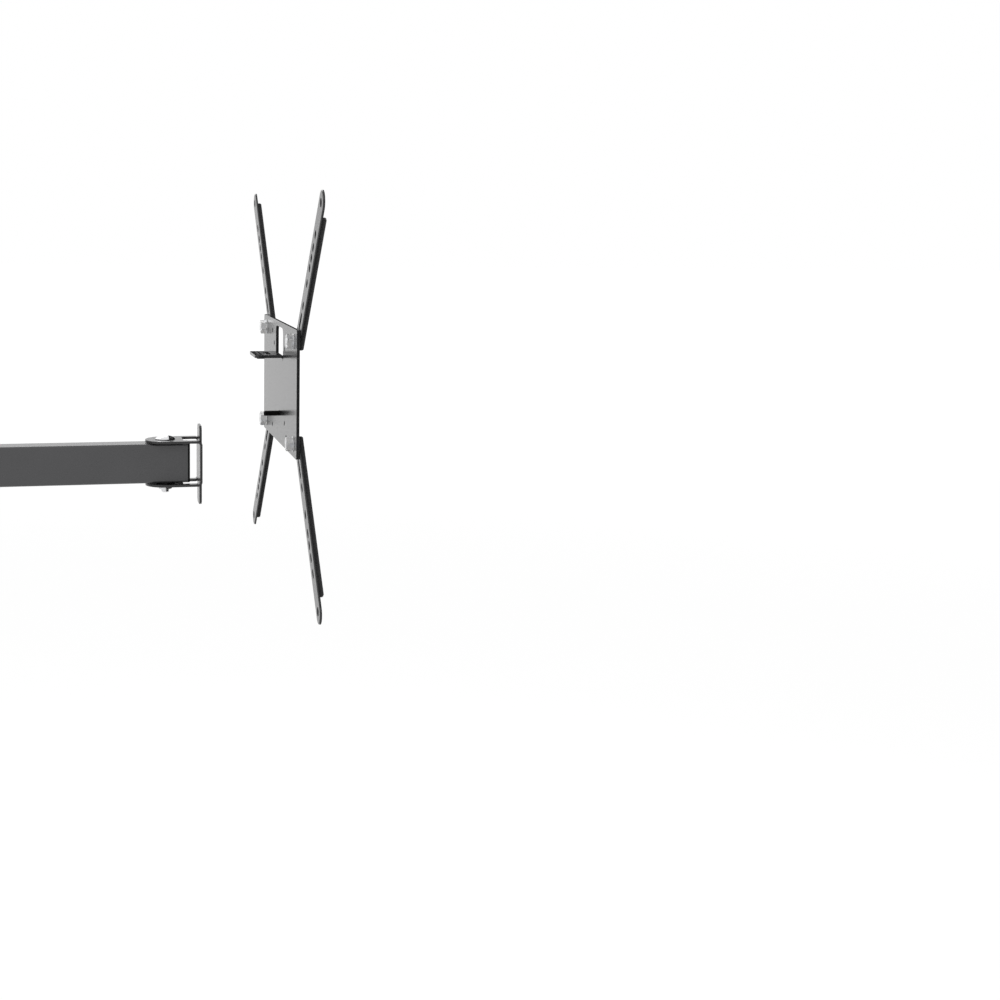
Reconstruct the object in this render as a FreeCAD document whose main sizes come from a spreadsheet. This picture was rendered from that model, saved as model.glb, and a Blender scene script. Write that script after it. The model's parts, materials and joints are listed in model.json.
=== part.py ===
import FreeCAD, Part
import os
import re
import Sketcher

# Full motion television wall mount.
# Frame: millimetres, +Z up, +X out from the wall, +Y along the wall.
# Origin: centre of the wall plate's back face, at the height of the arms' centre line.
# The arms stand straight out and the television bracket is lifted off the head bracket.

DRIVING = {
    # bent brackets: wall clevis, elbow bracket and head bracket
    "bracket_gauge": 2.5,
    "bracket_bend": 2.0,
    "ear_width": 40,
    "ear_reach": 33.4,
    "ear_play": 0.05,
    # head bracket: ear windows and the tabs left standing between them
    "window_start": 17.5,
    "tab_width": 24.5,
    "tab_slit": 0.6,
    "slit_depth": 3.0,
    "upper_tab": 14.4,
    "lower_tab": 20.1,
    "tab_corner": 6,
    # arm tubes and their end caps
    "tube_height": 40,
    "tube_width": 25,
    "tube_wall": 1.5,
    "tube_corner": 2.5,
    "tube_overhang": 22,
    "rear_length": 220,
    "front_length": 240,
    "cap_thickness": 2,
    "cap_plug": 9,
    "cap_wall": 1.4,
    "cap_edge": 0.8,
    "cap_fit": 0.1,
    # flanged bushes in the tubes' pivot holes
    "bush_flange": 0.7,
    "bush_flange_dia": 18,
    "bush_dia": 12,
    "bush_sleeve": 10,
    "bush_fit": 0.05,
    # pivot bolts with a domed head and a square neck, and their thin nuts
    "pivot_dia": 8,
    "pivot_fit": 0.08,
    "neck_fit": 0.1,
    "neck_depth": 2.2,
    "dome_dia": 20,
    "dome_height": 4.5,
    "dome_rim": 0.8,
    "pivot_nut_flats": 13,
    "pivot_nut_height": 4,
    "thread_end": 3.9,
    "thread_chamfer": 0.8,
    "nut_fit": 0.03,
    # wall plate: a channel with tapered sides and rounded ends
    "wall_gauge": 2.5,
    "wall_bend": 2.0,
    "wall_width": 64,
    "wall_end": 15,
    "wall_side": 12,
    "wall_side_end": 5,
    "wall_side_straight": 130,
    "wall_corner": 12,
    "wall_slot_length": 14,
    "wall_hole_dia": 8.5,
    "wall_slots_apart": 36,
    "wall_slots_height": 170,
    "stud_holes_height": 200,
    # television plate: a flat sheet with a window and the hook tongue bent out of it
    "plate_gauge": 3,
    "plate_bend": 2.0,
    "plate_width": 235,
    "plate_height": 125,
    "plate_corner": 3,
    "window_width": 50,
    "window_bottom": 24.5,
    "window_top": 57,
    "window_corner": 6,
    "tongue_width": 47,
    "tongue_length": 27.8,
    "tongue_underside": 27.1,
    "tongue_corner": 4,
    "tongue_slot_length": 28,
    "tongue_slot_width": 5.2,
    "inner_slot_place": 12.2,
    "outer_slot_place": 20.8,
    "screw_pattern": 100,
    "small_screw_pattern": 75,
    "screw_hole_dia": 5,
    # nylon liner in the tongue's outer slot
    "liner_fit": 0.4,
    "liner_wall": 0.75,
    "liner_brim": 1.5,
    "liner_brim_depth": 1.2,
    "liner_rock": 0.7,
    "liner_rise": 0.6,
    "liner_seat": 0.3,
    # the television plate's place when it is lifted off
    "lift_out": 60.55,
    "lift_up": 82.05,
    # slotted arms of the television bracket
    "slot_arm_gauge": 2,
    "slot_arm_bend": 0.8,
    "slot_arm_width": 20.5,
    "slot_arm_depth": 5.5,
    "slot_arm_edge": 1.2,
    "slot_arm_heel": 11.5,
    "slot_arm_toe": 11.5,
    "slot_arm_end_flat": 0.5,
    "slot_arm_setback": 10,
    "slot_arm_gap": 0.3,
    "slot_arm_angle": 45,
    "slot_arm_corner": 2,
    "pivot_side": 21.5,
    "pivot_end": 12.5,
    "long_slot_place": 30,
    "long_slot_length": 22,
    "slot_place_a": 52,
    "slot_place_b": 83,
    "slot_place_c": 104,
    "slot_place_d": 117,
    "slot_place_e": 131,
    "slot_place_f": 148,
    "slot_length": 9.5,
    "slot_width": 5.5,
    "tip_hole_place": 188,
    "tip_hole_dia": 8.5,
    # flat-headed bolts of the slotted arms, with washers and hexagon nuts on the wall side
    "clamp_dia": 8,
    "clamp_fit": 0.08,
    "clamp_head_dia": 14,
    "clamp_head_height": 2.8,
    "clamp_head_edge": 0.8,
    "clamp_washer_dia": 15,
    "clamp_washer_thickness": 1,
    "clamp_nut_flats": 13,
    "clamp_nut_height": 6.2,
    "clamp_end": 0.4,
    # tilt screw and its weld nut
    "tilt_dia": 6,
    "tilt_fit": 0.06,
    "tilt_hole_dia": 6.6,
    "tilt_drop": 32,
    "tilt_reach": 15.6,
    "tilt_tail": 0.5,
    "tilt_chamfer": 0.8,
    "tilt_socket_flats": 3,
    "tilt_socket_depth": 3,
    "tilt_nut_flats": 10,
    "tilt_nut_height": 5,
    # how far a cutting outline runs past the surface that it opens
    "overcut": 1,
}

# Sizes that several pieces share, written in the driving values.
EAR_GAP = "(tube_height + 2 * bush_flange + 2 * ear_play)"
EAR_TOP = f"({EAR_GAP} / 2 + bracket_gauge)"
WALL_PIVOT = "(wall_gauge + bracket_gauge + ear_reach)"
ELBOW_PIVOT = f"({WALL_PIVOT} + rear_length)"
HEAD_PIVOT = f"({ELBOW_PIVOT} + front_length)"
TAB_MIDDLE = f"({HEAD_PIVOT} + ear_reach + bracket_gauge / 2)"
HUNG_TONGUE = f"({EAR_TOP} + 2 * liner_seat + liner_brim_depth)"
TONGUE_X = f"({TAB_MIDDLE} + lift_out)"
TONGUE_Z = f"({HUNG_TONGUE} + lift_up)"
PLATE_X = f"({TONGUE_X} + outer_slot_place)"
PLATE_Z = f"({TONGUE_Z} - tongue_underside)"
LINER_HALF = "(tongue_slot_width / 2 - liner_fit)"
LINER_LONG = "(tongue_slot_length / 2 - liner_fit)"
SLOT_ARM_X = f"({PLATE_X} + plate_gauge + slot_arm_gap)"
SLOT_ARM_ROUND = "((slot_arm_width - slot_arm_end_flat) / 2)"
SLOT_PIVOT_Y = "(plate_width / 2 - pivot_side)"
SLOT_PIVOT_Z = "(plate_height / 2 - pivot_end)"
WALL_HEIGHT = "(stud_holes_height + 2 * wall_end)"

TOUCHING = 0.001
LEAST_CUT = 0.01

doc = FreeCAD.newDocument("tv_wall_mount")
dims = doc.addObject("Spreadsheet::Sheet", "Dims")
for row, (alias, number) in enumerate(DRIVING.items(), start=1):
    dims.set(f"A{row}", alias)
    dims.set(f"B{row}", str(number))
    dims.setAlias(f"B{row}", alias)
doc.recompute()
pieces = []


def bound(formula):
    """The formula with each driving value's name pointing at its cell of the sheet."""
    names = re.compile(r"\b[a-z]\w*\b(?!\()")
    return names.sub(lambda found: "Dims." + found.group(0), str(formula))


def number(formula):
    """What the formula comes to now, in millimetres or degrees."""
    return float(dims.evalExpression(bound(formula)))


def new_body(label, place=("0", "0", "0"), turn=None):
    """A body whose origin is held at a place given by three formulas. Turn is (axis, degrees)."""
    body = doc.addObject("PartDesign::Body", label)
    body.Label = label
    if turn:
        axis, degrees = turn
        rotation = FreeCAD.Rotation(FreeCAD.Vector(*axis), number(degrees))
        body.Placement = FreeCAD.Placement(FreeCAD.Vector(), rotation)
        if isinstance(degrees, str):
            body.setExpression("Placement.Rotation.Angle", bound(degrees))
    for letter, formula in zip("xyz", place):
        body.setExpression(f"Placement.Base.{letter}", bound(formula))
    pieces.append(body)
    return body


def new_sketch(body, name, role, offset="0"):
    """A sketch on one of the body's own planes: XY_Plane, XZ_Plane or YZ_Plane."""
    sketch = body.newObject("Sketcher::SketchObject", name)
    plane = next(f for f in body.Origin.OriginFeatures if f.Role == role)
    sketch.AttachmentSupport = [(plane, "")]
    sketch.MapMode = "FlatFace"
    sketch.setExpression("AttachmentOffset.Base.z", bound(offset))
    return sketch


def hold(sketch, kind, value, *where):
    """One dimension of a sketch, driven by a formula."""
    index = sketch.addConstraint(Sketcher.Constraint(kind, *where, number(value)))
    sketch.setExpression(f"Constraints[{index}]", bound(value))


def hold_point(sketch, geometry, point, x, y):
    hold(sketch, "DistanceX", x, -1, 1, geometry, point)
    hold(sketch, "DistanceY", y, -1, 1, geometry, point)


def outline(sketch, corners, arcs=None):
    """A closed outline through corners given by formulas, anticlockwise.

    Arcs maps an edge's index, counted from its first corner, to the arc's centre. The centre's
    second formula is a first guess, which the two ends of the arc settle.
    """
    arcs = arcs or {}
    places = [FreeCAD.Vector(number(x), number(y), 0) for x, y in corners]
    first = sketch.GeometryCount
    count = len(corners)
    for i, start in enumerate(places):
        end = places[(i + 1) % count]
        if i in arcs:
            centre = FreeCAD.Vector(*[number(part) for part in arcs[i]], 0)
            ring = Part.Circle(centre, FreeCAD.Vector(0, 0, 1), (start - centre).Length)
            edge = Part.ArcOfCircle(ring, ring.parameter(start), ring.parameter(end))
        else:
            edge = Part.LineSegment(start, end)
        sketch.addGeometry(edge, False)
    for i in range(count):
        after = first + (i + 1) % count
        sketch.addConstraint(Sketcher.Constraint("Coincident", first + i, 2, after, 1))
    for i, (x, y) in enumerate(corners):
        hold_point(sketch, first + i, 1, x, y)
    for i, centre in arcs.items():
        hold(sketch, "DistanceX", centre[0], -1, 1, first + i, 3)


def rectangle(sketch, low, high):
    outline(sketch, [low, (high[0], low[1]), high, (low[0], high[1])])


def circle(sketch, x, y, radius):
    centre = FreeCAD.Vector(number(x), number(y), 0)
    index = sketch.addGeometry(Part.Circle(centre, FreeCAD.Vector(0, 0, 1), number(radius)), False)
    hold_point(sketch, index, 3, x, y)
    hold(sketch, "Radius", radius, index)


def slot(sketch, x, y, length, width):
    """A slot along the sketch's first axis, round at both ends."""
    left, right = f"({x} - ({length} - {width}) / 2)", f"({x} + ({length} - {width}) / 2)"
    low, high = f"({y} - {width} / 2)", f"({y} + {width} / 2)"
    corners = [(left, low), (right, low), (right, high), (left, high)]
    outline(sketch, corners, {1: (right, y), 3: (left, y)})


def hexagon(sketch, across_flats):
    """A hexagon about the sketch's origin with two flats square to its first axis."""
    half = f"{across_flats} / 2"
    corner = f"{across_flats} / sqrt(3)"
    side = f"{across_flats} / sqrt(3) / 2"
    right = [(half, f"-{side}"), (half, side), ("0", corner)]
    left = [(f"-{half}", side), (f"-{half}", f"-{side}"), ("0", f"-{corner}")]
    outline(sketch, right + left)


def add(body, sketch, depth, both_ways=False, backwards=False):
    """Material over the sketch's outline, as deep as the formula says."""
    feature = body.newObject("PartDesign::Pad", sketch.Name + "_pad")
    feature.Profile = sketch
    feature.setExpression("Length", bound(depth))
    feature.Midplane = both_ways
    feature.Reversed = backwards
    doc.recompute()
    return feature


def cut(body, sketch, depth=None, both_ways=False, backwards=False):
    """A pocket as deep as the formula says, or right through where there is none."""
    before = body.Shape.Volume
    feature = body.newObject("PartDesign::Pocket", sketch.Name + "_cut")
    feature.Profile = sketch
    if depth is None:
        feature.Type = 1
    else:
        feature.setExpression("Length", bound(depth))
    feature.Midplane = both_ways
    feature.Reversed = backwards
    doc.recompute()
    if not body.Shape.Volume < before - LEAST_CUT:
        raise RuntimeError(f"{feature.Name} of {body.Label} takes nothing away")
    return feature


def turn_about_z(body, sketch):
    """A full revolution of the sketch about its own upright axis."""
    feature = body.newObject("PartDesign::Revolution", sketch.Name + "_turn")
    feature.Profile = sketch
    feature.ReferenceAxis = (sketch, ["V_Axis"])
    feature.Angle = 360
    doc.recompute()
    return feature


def edges_at(body, **where):
    """Names of the body's edges that lie wholly at the coordinates given, such as x and z."""
    named = []
    shape = body.Tip.Shape
    for index, edge in enumerate(shape.Edges, start=1):
        ends = [vertex.Point for vertex in edge.Vertexes]
        if all(
            abs(getattr(end, axis) - value) < TOUCHING
            for end in ends
            for axis, value in where.items()
        ):
            named.append(f"Edge{index}")
    return named


def fillet(body, edges, radius):
    """One radius along named edges of the body."""
    if not edges:
        raise RuntimeError(f"{body.Label} has no edge to round")
    feature = body.newObject("PartDesign::Fillet", body.Name + "_fillet")
    feature.Base = (feature.BaseFeature, sorted(set(edges)))
    feature.setExpression("Radius", bound(radius))
    doc.recompute()


def mitre_corners(body, across_flats, height):
    """The thirty degree bevel that turning leaves on a hexagon's corners."""
    flat = f"({across_flats} / 2)"
    beyond = f"({across_flats} / sqrt(3) + overcut)"
    drop = f"(({beyond} - {flat}) / sqrt(3))"
    sketch = new_sketch(body, body.Name + "_bevel", "XZ_Plane")
    outline(sketch, [(flat, height), (beyond, f"{height} - {drop}"), (beyond, height)])
    outline(sketch, [(flat, "0"), (beyond, "0"), (beyond, drop)])
    feature = body.newObject("PartDesign::Groove", body.Name + "_bevel_turn")
    feature.Profile = sketch
    feature.ReferenceAxis = (sketch, ["V_Axis"])
    feature.Angle = 360
    doc.recompute()


def bracket(label, pivot_x, turn=None, tabs=False):
    """A sheet bent into a web and two round-ended ears about a pivot on the body's Z axis.

    The web stands on the body's +X side. With tabs, a window is cut in each ear and the strip
    between the cuts is left standing in line with the web.
    """
    body = new_body(label, (pivot_x, "0", "0"), turn)
    outer_x = "(ear_reach + bracket_gauge)"
    half = "(ear_width / 2)"
    plan = new_sketch(body, label + "_plan", "XY_Plane")
    corners = [("0", f"-{half}"), (outer_x, f"-{half}"), (outer_x, half), ("0", half)]
    outline(plan, corners, {3: ("0", "0")})
    add(body, plan, f"2 * {EAR_TOP}", both_ways=True)
    gap = new_sketch(body, label + "_gap", "XZ_Plane")
    rectangle(gap, (f"-{half} - overcut", f"-{EAR_GAP} / 2"), ("ear_reach", f"{EAR_GAP} / 2"))
    cut(body, gap, "ear_width + 2 * overcut", both_ways=True)
    inner_z, outer_z = number(f"{EAR_GAP} / 2"), number(EAR_TOP)
    inside, outside = number("ear_reach"), number(outer_x)
    bends = edges_at(body, x=inside, z=inner_z) + edges_at(body, x=inside, z=-inner_z)
    fillet(body, bends, "bracket_bend")
    bends = edges_at(body, x=outside, z=outer_z) + edges_at(body, x=outside, z=-outer_z)
    fillet(body, bends, "bracket_bend + bracket_gauge")
    if tabs:
        leave_tabs(body, label, outer_x)
    neck = new_sketch(body, label + "_neck_hole", "XY_Plane", f"{EAR_GAP} / 2")
    side = "(pivot_dia / 2 + neck_fit)"
    rectangle(neck, (f"-{side}", f"-{side}"), (side, side))
    cut(body, neck, "bracket_gauge + overcut", backwards=True)
    shank = new_sketch(body, label + "_shank_hole", "XY_Plane", f"-{EAR_GAP} / 2")
    circle(shank, "0", "0", side)
    cut(body, shank, "bracket_gauge + overcut")
    return body


def leave_tabs(body, label, outer_x):
    """Ear windows, and the tab that stands above and below them with a slit at each side."""
    windows = new_sketch(body, label + "_windows", "XZ_Plane")
    start, far_x = f"({EAR_GAP} / 2 - slit_depth)", f"{outer_x} + overcut"
    rectangle(windows, ("window_start", start), (far_x, f"{EAR_TOP} + overcut"))
    rectangle(windows, ("window_start", f"-{EAR_TOP} - overcut"), (far_x, f"-{start}"))
    cut(body, windows, "tab_width + 2 * tab_slit", both_ways=True)
    tab = new_sketch(body, label + "_tab", "YZ_Plane", "ear_reach")
    low, high = f"-({EAR_TOP} + lower_tab)", f"({EAR_TOP} + upper_tab)"
    rectangle(tab, ("-tab_width / 2", low), ("tab_width / 2", high))
    add(body, tab, "bracket_gauge")
    side = number("tab_width / 2")
    ends = [edges_at(body, y=y, z=z) for y in (-side, side) for z in (number(low), number(high))]
    fillet(body, sum(ends, []), "tab_corner")


def tube(label, pivot_x, far_end, pivots):
    """A square-cut rectangular tube with a pair of holes for the bushes at each pivot."""
    body = new_body(label, (pivot_x, "0", "0"))
    section = new_sketch(body, label + "_section", "YZ_Plane", "-tube_overhang")
    half_y, half_z = "(tube_width / 2)", "(tube_height / 2)"
    rectangle(section, (f"-{half_y}", f"-{half_z}"), (half_y, half_z))
    add(body, section, f"tube_overhang + {far_end}")
    y, z = number(half_y), number(half_z)
    corners = [edges_at(body, y=a, z=b) for a in (-y, y) for b in (-z, z)]
    fillet(body, sum(corners, []), "tube_corner")
    inside = new_sketch(body, label + "_inside", "YZ_Plane", "-tube_overhang")
    in_y, in_z = f"({half_y} - tube_wall)", f"({half_z} - tube_wall)"
    rectangle(inside, (f"-{in_y}", f"-{in_z}"), (in_y, in_z))
    cut(body, inside, backwards=True)
    y, z = number(in_y), number(in_z)
    corners = [edges_at(body, y=a, z=b) for a in (-y, y) for b in (-z, z)]
    fillet(body, sum(corners, []), "tube_corner - tube_wall")
    holes = new_sketch(body, label + "_pivot_holes", "XY_Plane")
    for place in pivots:
        circle(holes, place, "0", "bush_dia / 2 + bush_fit")
    cut(body, holes, "tube_height + 2 * overcut", both_ways=True)
    return body


def end_cap(label, face_x, turn=None):
    """A plastic cap on a tube's cut end at the body's origin, with a hollow plug inside the tube."""
    body = new_body(label, (face_x, "0", "0"), turn)
    cover = new_sketch(body, label + "_cover", "YZ_Plane")
    half_y, half_z = "(tube_width / 2)", "(tube_height / 2)"
    rectangle(cover, (f"-{half_y}", f"-{half_z}"), (half_y, half_z))
    add(body, cover, "cap_thickness")
    y, z = number(half_y), number(half_z)
    corners = [edges_at(body, y=a, z=b) for a in (-y, y) for b in (-z, z)]
    fillet(body, sum(corners, []), "tube_corner")
    fillet(body, edges_at(body, x=number("cap_thickness")), "cap_edge")
    plug = new_sketch(body, label + "_plug", "YZ_Plane")
    in_y, in_z = f"({half_y} - tube_wall - cap_fit)", f"({half_z} - tube_wall - cap_fit)"
    rectangle(plug, (f"-{in_y}", f"-{in_z}"), (in_y, in_z))
    add(body, plug, "cap_plug", backwards=True)
    y, z = number(in_y), number(in_z)
    corners = [edges_at(body, y=a, z=b) for a in (-y, y) for b in (-z, z)]
    fillet(body, sum(corners, []), "tube_corner - tube_wall")
    hollow = new_sketch(body, label + "_hollow", "YZ_Plane")
    core_y, core_z = f"({in_y} - cap_wall)", f"({in_z} - cap_wall)"
    rectangle(hollow, (f"-{core_y}", f"-{core_z}"), (core_y, core_z))
    cut(body, hollow)
    return body


def bush(label, pivot_x, below=False):
    """A flanged bush in the tube's upper or lower wall, its flange on the outside."""
    turn = ((1, 0, 0), 180) if below else None
    height = "-tube_height / 2" if below else "tube_height / 2"
    body = new_body(label, (pivot_x, "0", height), turn)
    profile = new_sketch(body, label + "_profile", "XZ_Plane")
    bore, flange = "(pivot_dia / 2 + pivot_fit)", "(bush_flange_dia / 2)"
    corners = [(bore, "-bush_sleeve"), ("bush_dia / 2", "-bush_sleeve"), ("bush_dia / 2", "0")]
    corners += [(flange, "0"), (flange, "bush_flange"), (bore, "bush_flange")]
    outline(profile, corners)
    turn_about_z(body, profile)
    return body


def carriage_bolt(label, pivot_x):
    """A domed bolt with a square neck, through both ears and the nut."""
    body = new_body(label, (pivot_x, "0", EAR_TOP))
    radius, dome = "(pivot_dia / 2)", "(dome_dia / 2)"
    end = f"(2 * {EAR_TOP} + pivot_nut_height + thread_end)"
    rise = "(dome_height - dome_rim)"
    centre_z = f"(dome_height - ({rise} ^ 2 + {dome} ^ 2) / (2 * {rise}))"
    profile = new_sketch(body, label + "_profile", "XZ_Plane")
    corners = [("0", f"-{end}"), (f"{radius} - thread_chamfer", f"-{end}")]
    corners += [(radius, f"-{end} + thread_chamfer"), (radius, "0")]
    corners += [(dome, "0"), (dome, "dome_rim"), ("0", "dome_height")]
    outline(profile, corners, {5: ("0", centre_z)})
    turn_about_z(body, profile)
    neck = new_sketch(body, label + "_neck", "XY_Plane")
    rectangle(neck, (f"-{radius}", f"-{radius}"), (radius, radius))
    add(body, neck, "neck_depth", backwards=True)
    return body


def hex_nut(label, place, turn, flats, height, bore):
    """A hexagon nut that stands on the body's origin and rises along its Z axis."""
    body = new_body(label, place, turn)
    prism = new_sketch(body, label + "_prism", "XY_Plane")
    hexagon(prism, flats)
    add(body, prism, height)
    mitre_corners(body, flats, height)
    hole = new_sketch(body, label + "_bore", "XY_Plane")
    circle(hole, "0", "0", bore)
    cut(body, hole, height, backwards=True)
    return body


def wall_plate():
    """The channel that is screwed to the wall, its sides cut down towards both ends."""
    body = new_body("wall_plate")
    half, side = "(wall_width / 2)", "wall_side"
    profile = new_sketch(body, "wall_plate_profile", "XY_Plane")
    corners = [("0", f"-{half}"), (side, f"-{half}"), (side, f"-{half} + wall_gauge")]
    corners += [("wall_gauge", f"-{half} + wall_gauge"), ("wall_gauge", f"{half} - wall_gauge")]
    corners += [(side, f"{half} - wall_gauge"), (side, half), ("0", half)]
    outline(profile, corners)
    add(body, profile, WALL_HEIGHT, both_ways=True)
    inner, outer, gauge = number(f"{half} - wall_gauge"), number(half), number("wall_gauge")
    bends = edges_at(body, x=gauge, y=inner) + edges_at(body, x=gauge, y=-inner)
    fillet(body, bends, "wall_bend")
    bends = edges_at(body, x=0, y=outer) + edges_at(body, x=0, y=-outer)
    fillet(body, bends, "wall_bend + wall_gauge")
    taper = new_sketch(body, "wall_plate_taper", "XZ_Plane")
    top, level = f"({WALL_HEIGHT} / 2)", "(wall_side_straight / 2)"
    beyond, over = f"({top} + overcut)", "(wall_side + overcut)"
    upper = [("wall_side", level), (over, level), (over, beyond)]
    upper += [("wall_side_end", beyond), ("wall_side_end", top)]
    outline(taper, upper)
    outline(taper, [(x, f"-{z}") for x, z in reversed(upper)])
    cut(body, taper, "wall_width + 2 * overcut", both_ways=True)
    x, z = number("wall_side"), number(level)
    fillet(body, edges_at(body, x=x, z=z) + edges_at(body, x=x, z=-z), "wall_corner")
    holes = new_sketch(body, "wall_plate_holes", "YZ_Plane")
    for side in ("-", ""):
        for level in ("-", ""):
            place = (f"{side}wall_slots_apart / 2", f"{level}wall_slots_height / 2")
            slot(holes, *place, "wall_slot_length", "wall_hole_dia")
    for level in ("-", ""):
        circle(holes, "0", f"{level}stud_holes_height / 2", "wall_hole_dia / 2")
    cut(body, holes, "wall_gauge + overcut", backwards=True)


def tv_plate():
    """The flat plate behind the television, with the hook tongue bent out of its window."""
    body = new_body("tv_plate", (PLATE_X, "0", PLATE_Z))
    half, top = "(plate_width / 2)", "(plate_height / 2)"
    face = new_sketch(body, "tv_plate_face", "YZ_Plane")
    rectangle(face, (f"-{half}", f"-{top}"), (half, top))
    add(body, face, "plate_gauge")
    y, z = number(half), number(top)
    corners = [edges_at(body, y=a, z=b) for a in (-y, y) for b in (-z, z)]
    fillet(body, sum(corners, []), "plate_corner")
    bend_tongue(body)
    holes = new_sketch(body, "tv_plate_holes", "YZ_Plane")
    for y in ("-", ""):
        for z in ("-", ""):
            for pattern in ("screw_pattern", "small_screw_pattern"):
                circle(holes, f"{y}{pattern} / 2", f"{z}{pattern} / 2", "screw_hole_dia / 2")
            place = (f"{y}{SLOT_PIVOT_Y}", f"{z}{SLOT_PIVOT_Z}")
            circle(holes, *place, "clamp_dia / 2 + clamp_fit")
    circle(holes, "0", "-tilt_drop", "tilt_hole_dia / 2")
    cut(body, holes, "plate_gauge + overcut", backwards=True)


def bend_tongue(body):
    """The window in the plate, and the slotted tongue that was cut from it and bent outwards."""
    window = new_sketch(body, "tv_plate_window", "YZ_Plane")
    rectangle(window, ("-window_width / 2", "window_bottom"), ("window_width / 2", "window_top"))
    cut(body, window, "plate_gauge + overcut", backwards=True)
    y, z = number("window_width / 2"), number("window_top")
    fillet(body, edges_at(body, y=y, z=z) + edges_at(body, y=-y, z=z), "window_corner")
    profile = new_sketch(body, "tv_plate_tongue", "XZ_Plane")
    low, top, root = "tongue_underside", "tongue_underside + plate_gauge", "window_bottom - overcut"
    corners = [("0", root), ("plate_gauge", root), ("plate_gauge", top)]
    corners += [("-tongue_length", top), ("-tongue_length", low), ("0", low)]
    outline(profile, corners)
    add(body, profile, "tongue_width", both_ways=True)
    fillet(body, edges_at(body, x=0, z=number(low)), "plate_bend")
    fillet(body, edges_at(body, x=number("plate_gauge"), z=number(top)), "plate_bend + plate_gauge")
    x, y = number("-tongue_length"), number("tongue_width / 2")
    fillet(body, edges_at(body, x=x, y=y) + edges_at(body, x=x, y=-y), "tongue_corner")
    slots = new_sketch(body, "tv_plate_tongue_slots", "XY_Plane", top)
    reach, breadth = "tongue_slot_length / 2", "tongue_slot_width / 2"
    for place in ("inner_slot_place", "outer_slot_place"):
        rectangle(slots, (f"-{place} - {breadth}", f"-{reach}"), (f"-{place} + {breadth}", reach))
    cut(body, slots, "plate_gauge + overcut")


def hook_liner():
    """A nylon collar in the tongue's outer slot, with a brim under the tongue that it rocks on."""
    body = new_body("hook_liner", (TONGUE_X, "0", TONGUE_Z))
    brim_half = f"({LINER_HALF} + liner_brim)"
    brim = new_sketch(body, "hook_liner_brim", "XZ_Plane")
    low = "-(liner_seat + liner_brim_depth)"
    edge, crown = "-(liner_seat + liner_rock)", "-liner_seat"
    corners = [(f"-{brim_half}", low), (brim_half, low), (brim_half, edge), (LINER_HALF, crown)]
    corners += [(f"-{LINER_HALF}", crown), (f"-{brim_half}", edge)]
    outline(brim, corners)
    add(body, brim, f"2 * ({LINER_LONG} + liner_brim)", both_ways=True)
    collar = new_sketch(body, "hook_liner_collar", "XY_Plane", low)
    rectangle(collar, (f"-{LINER_HALF}", f"-{LINER_LONG}"), (LINER_HALF, LINER_LONG))
    add(body, collar, "liner_seat + liner_brim_depth + plate_gauge + liner_rise")
    way = new_sketch(body, "hook_liner_way", "XY_Plane", low)
    across, along = f"({LINER_HALF} - liner_wall)", f"({LINER_LONG} - liner_wall)"
    rectangle(way, (f"-{across}", f"-{along}"), (across, along))
    cut(body, way, backwards=True)


def slot_arm(label, y_side, z_side, angle):
    """A U-shaped arm with its pivot at the body's origin, reaching along the body's Y axis.

    Its face is round at both ends and runs on past its sides to reach round the tip hole.
    """
    place = (SLOT_ARM_X, f"{y_side}{SLOT_PIVOT_Y}", f"{PLATE_Z} {z_side} {SLOT_PIVOT_Z}")
    body = new_body(label, place, ((1, 0, 0), angle))
    half, heel, toe = "(slot_arm_width / 2)", "-slot_arm_heel", "(tip_hole_place + slot_arm_toe)"
    face = new_sketch(body, label + "_face", "YZ_Plane")
    rectangle(face, (heel, f"-{half}"), (toe, half))
    add(body, face, "slot_arm_gauge")
    z = number(half)
    corners = [edges_at(body, y=number(y), z=b) for y in (heel, toe) for b in (-z, z)]
    fillet(body, sum(corners, []), SLOT_ARM_ROUND)
    back, front = f"({heel} + {SLOT_ARM_ROUND})", "(tip_hole_place - slot_arm_setback)"
    sides = new_sketch(body, label + "_sides", "YZ_Plane")
    rectangle(sides, (back, f"-{half}"), (front, half))
    add(body, sides, "slot_arm_depth")
    channel = new_sketch(body, label + "_channel", "YZ_Plane", "slot_arm_gauge")
    inner = f"({half} - slot_arm_gauge)"
    rectangle(channel, (f"{back} - overcut", f"-{inner}"), (f"{front} + overcut", inner))
    cut(body, channel, "slot_arm_depth", backwards=True)
    z, x = number(inner), number("slot_arm_gauge")
    fillet(body, edges_at(body, x=x, z=z) + edges_at(body, x=x, z=-z), "slot_arm_bend")
    fillet(body, edges_at(body, x=0), "slot_arm_edge")
    x = number("slot_arm_depth")
    ends = edges_at(body, x=x, y=number(back)) + edges_at(body, x=x, y=number(front))
    fillet(body, ends, "slot_arm_corner")
    holes = new_sketch(body, label + "_holes", "YZ_Plane")
    circle(holes, "0", "0", "clamp_dia / 2 + clamp_fit")
    circle(holes, "tip_hole_place", "0", "tip_hole_dia / 2")
    slot(holes, "long_slot_place", "0", "long_slot_length", "slot_width")
    for letter in "abcdef":
        slot(holes, f"slot_place_{letter}", "0", "slot_length", "slot_width")
    cut(body, holes, "slot_arm_gauge + overcut", backwards=True)


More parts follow.
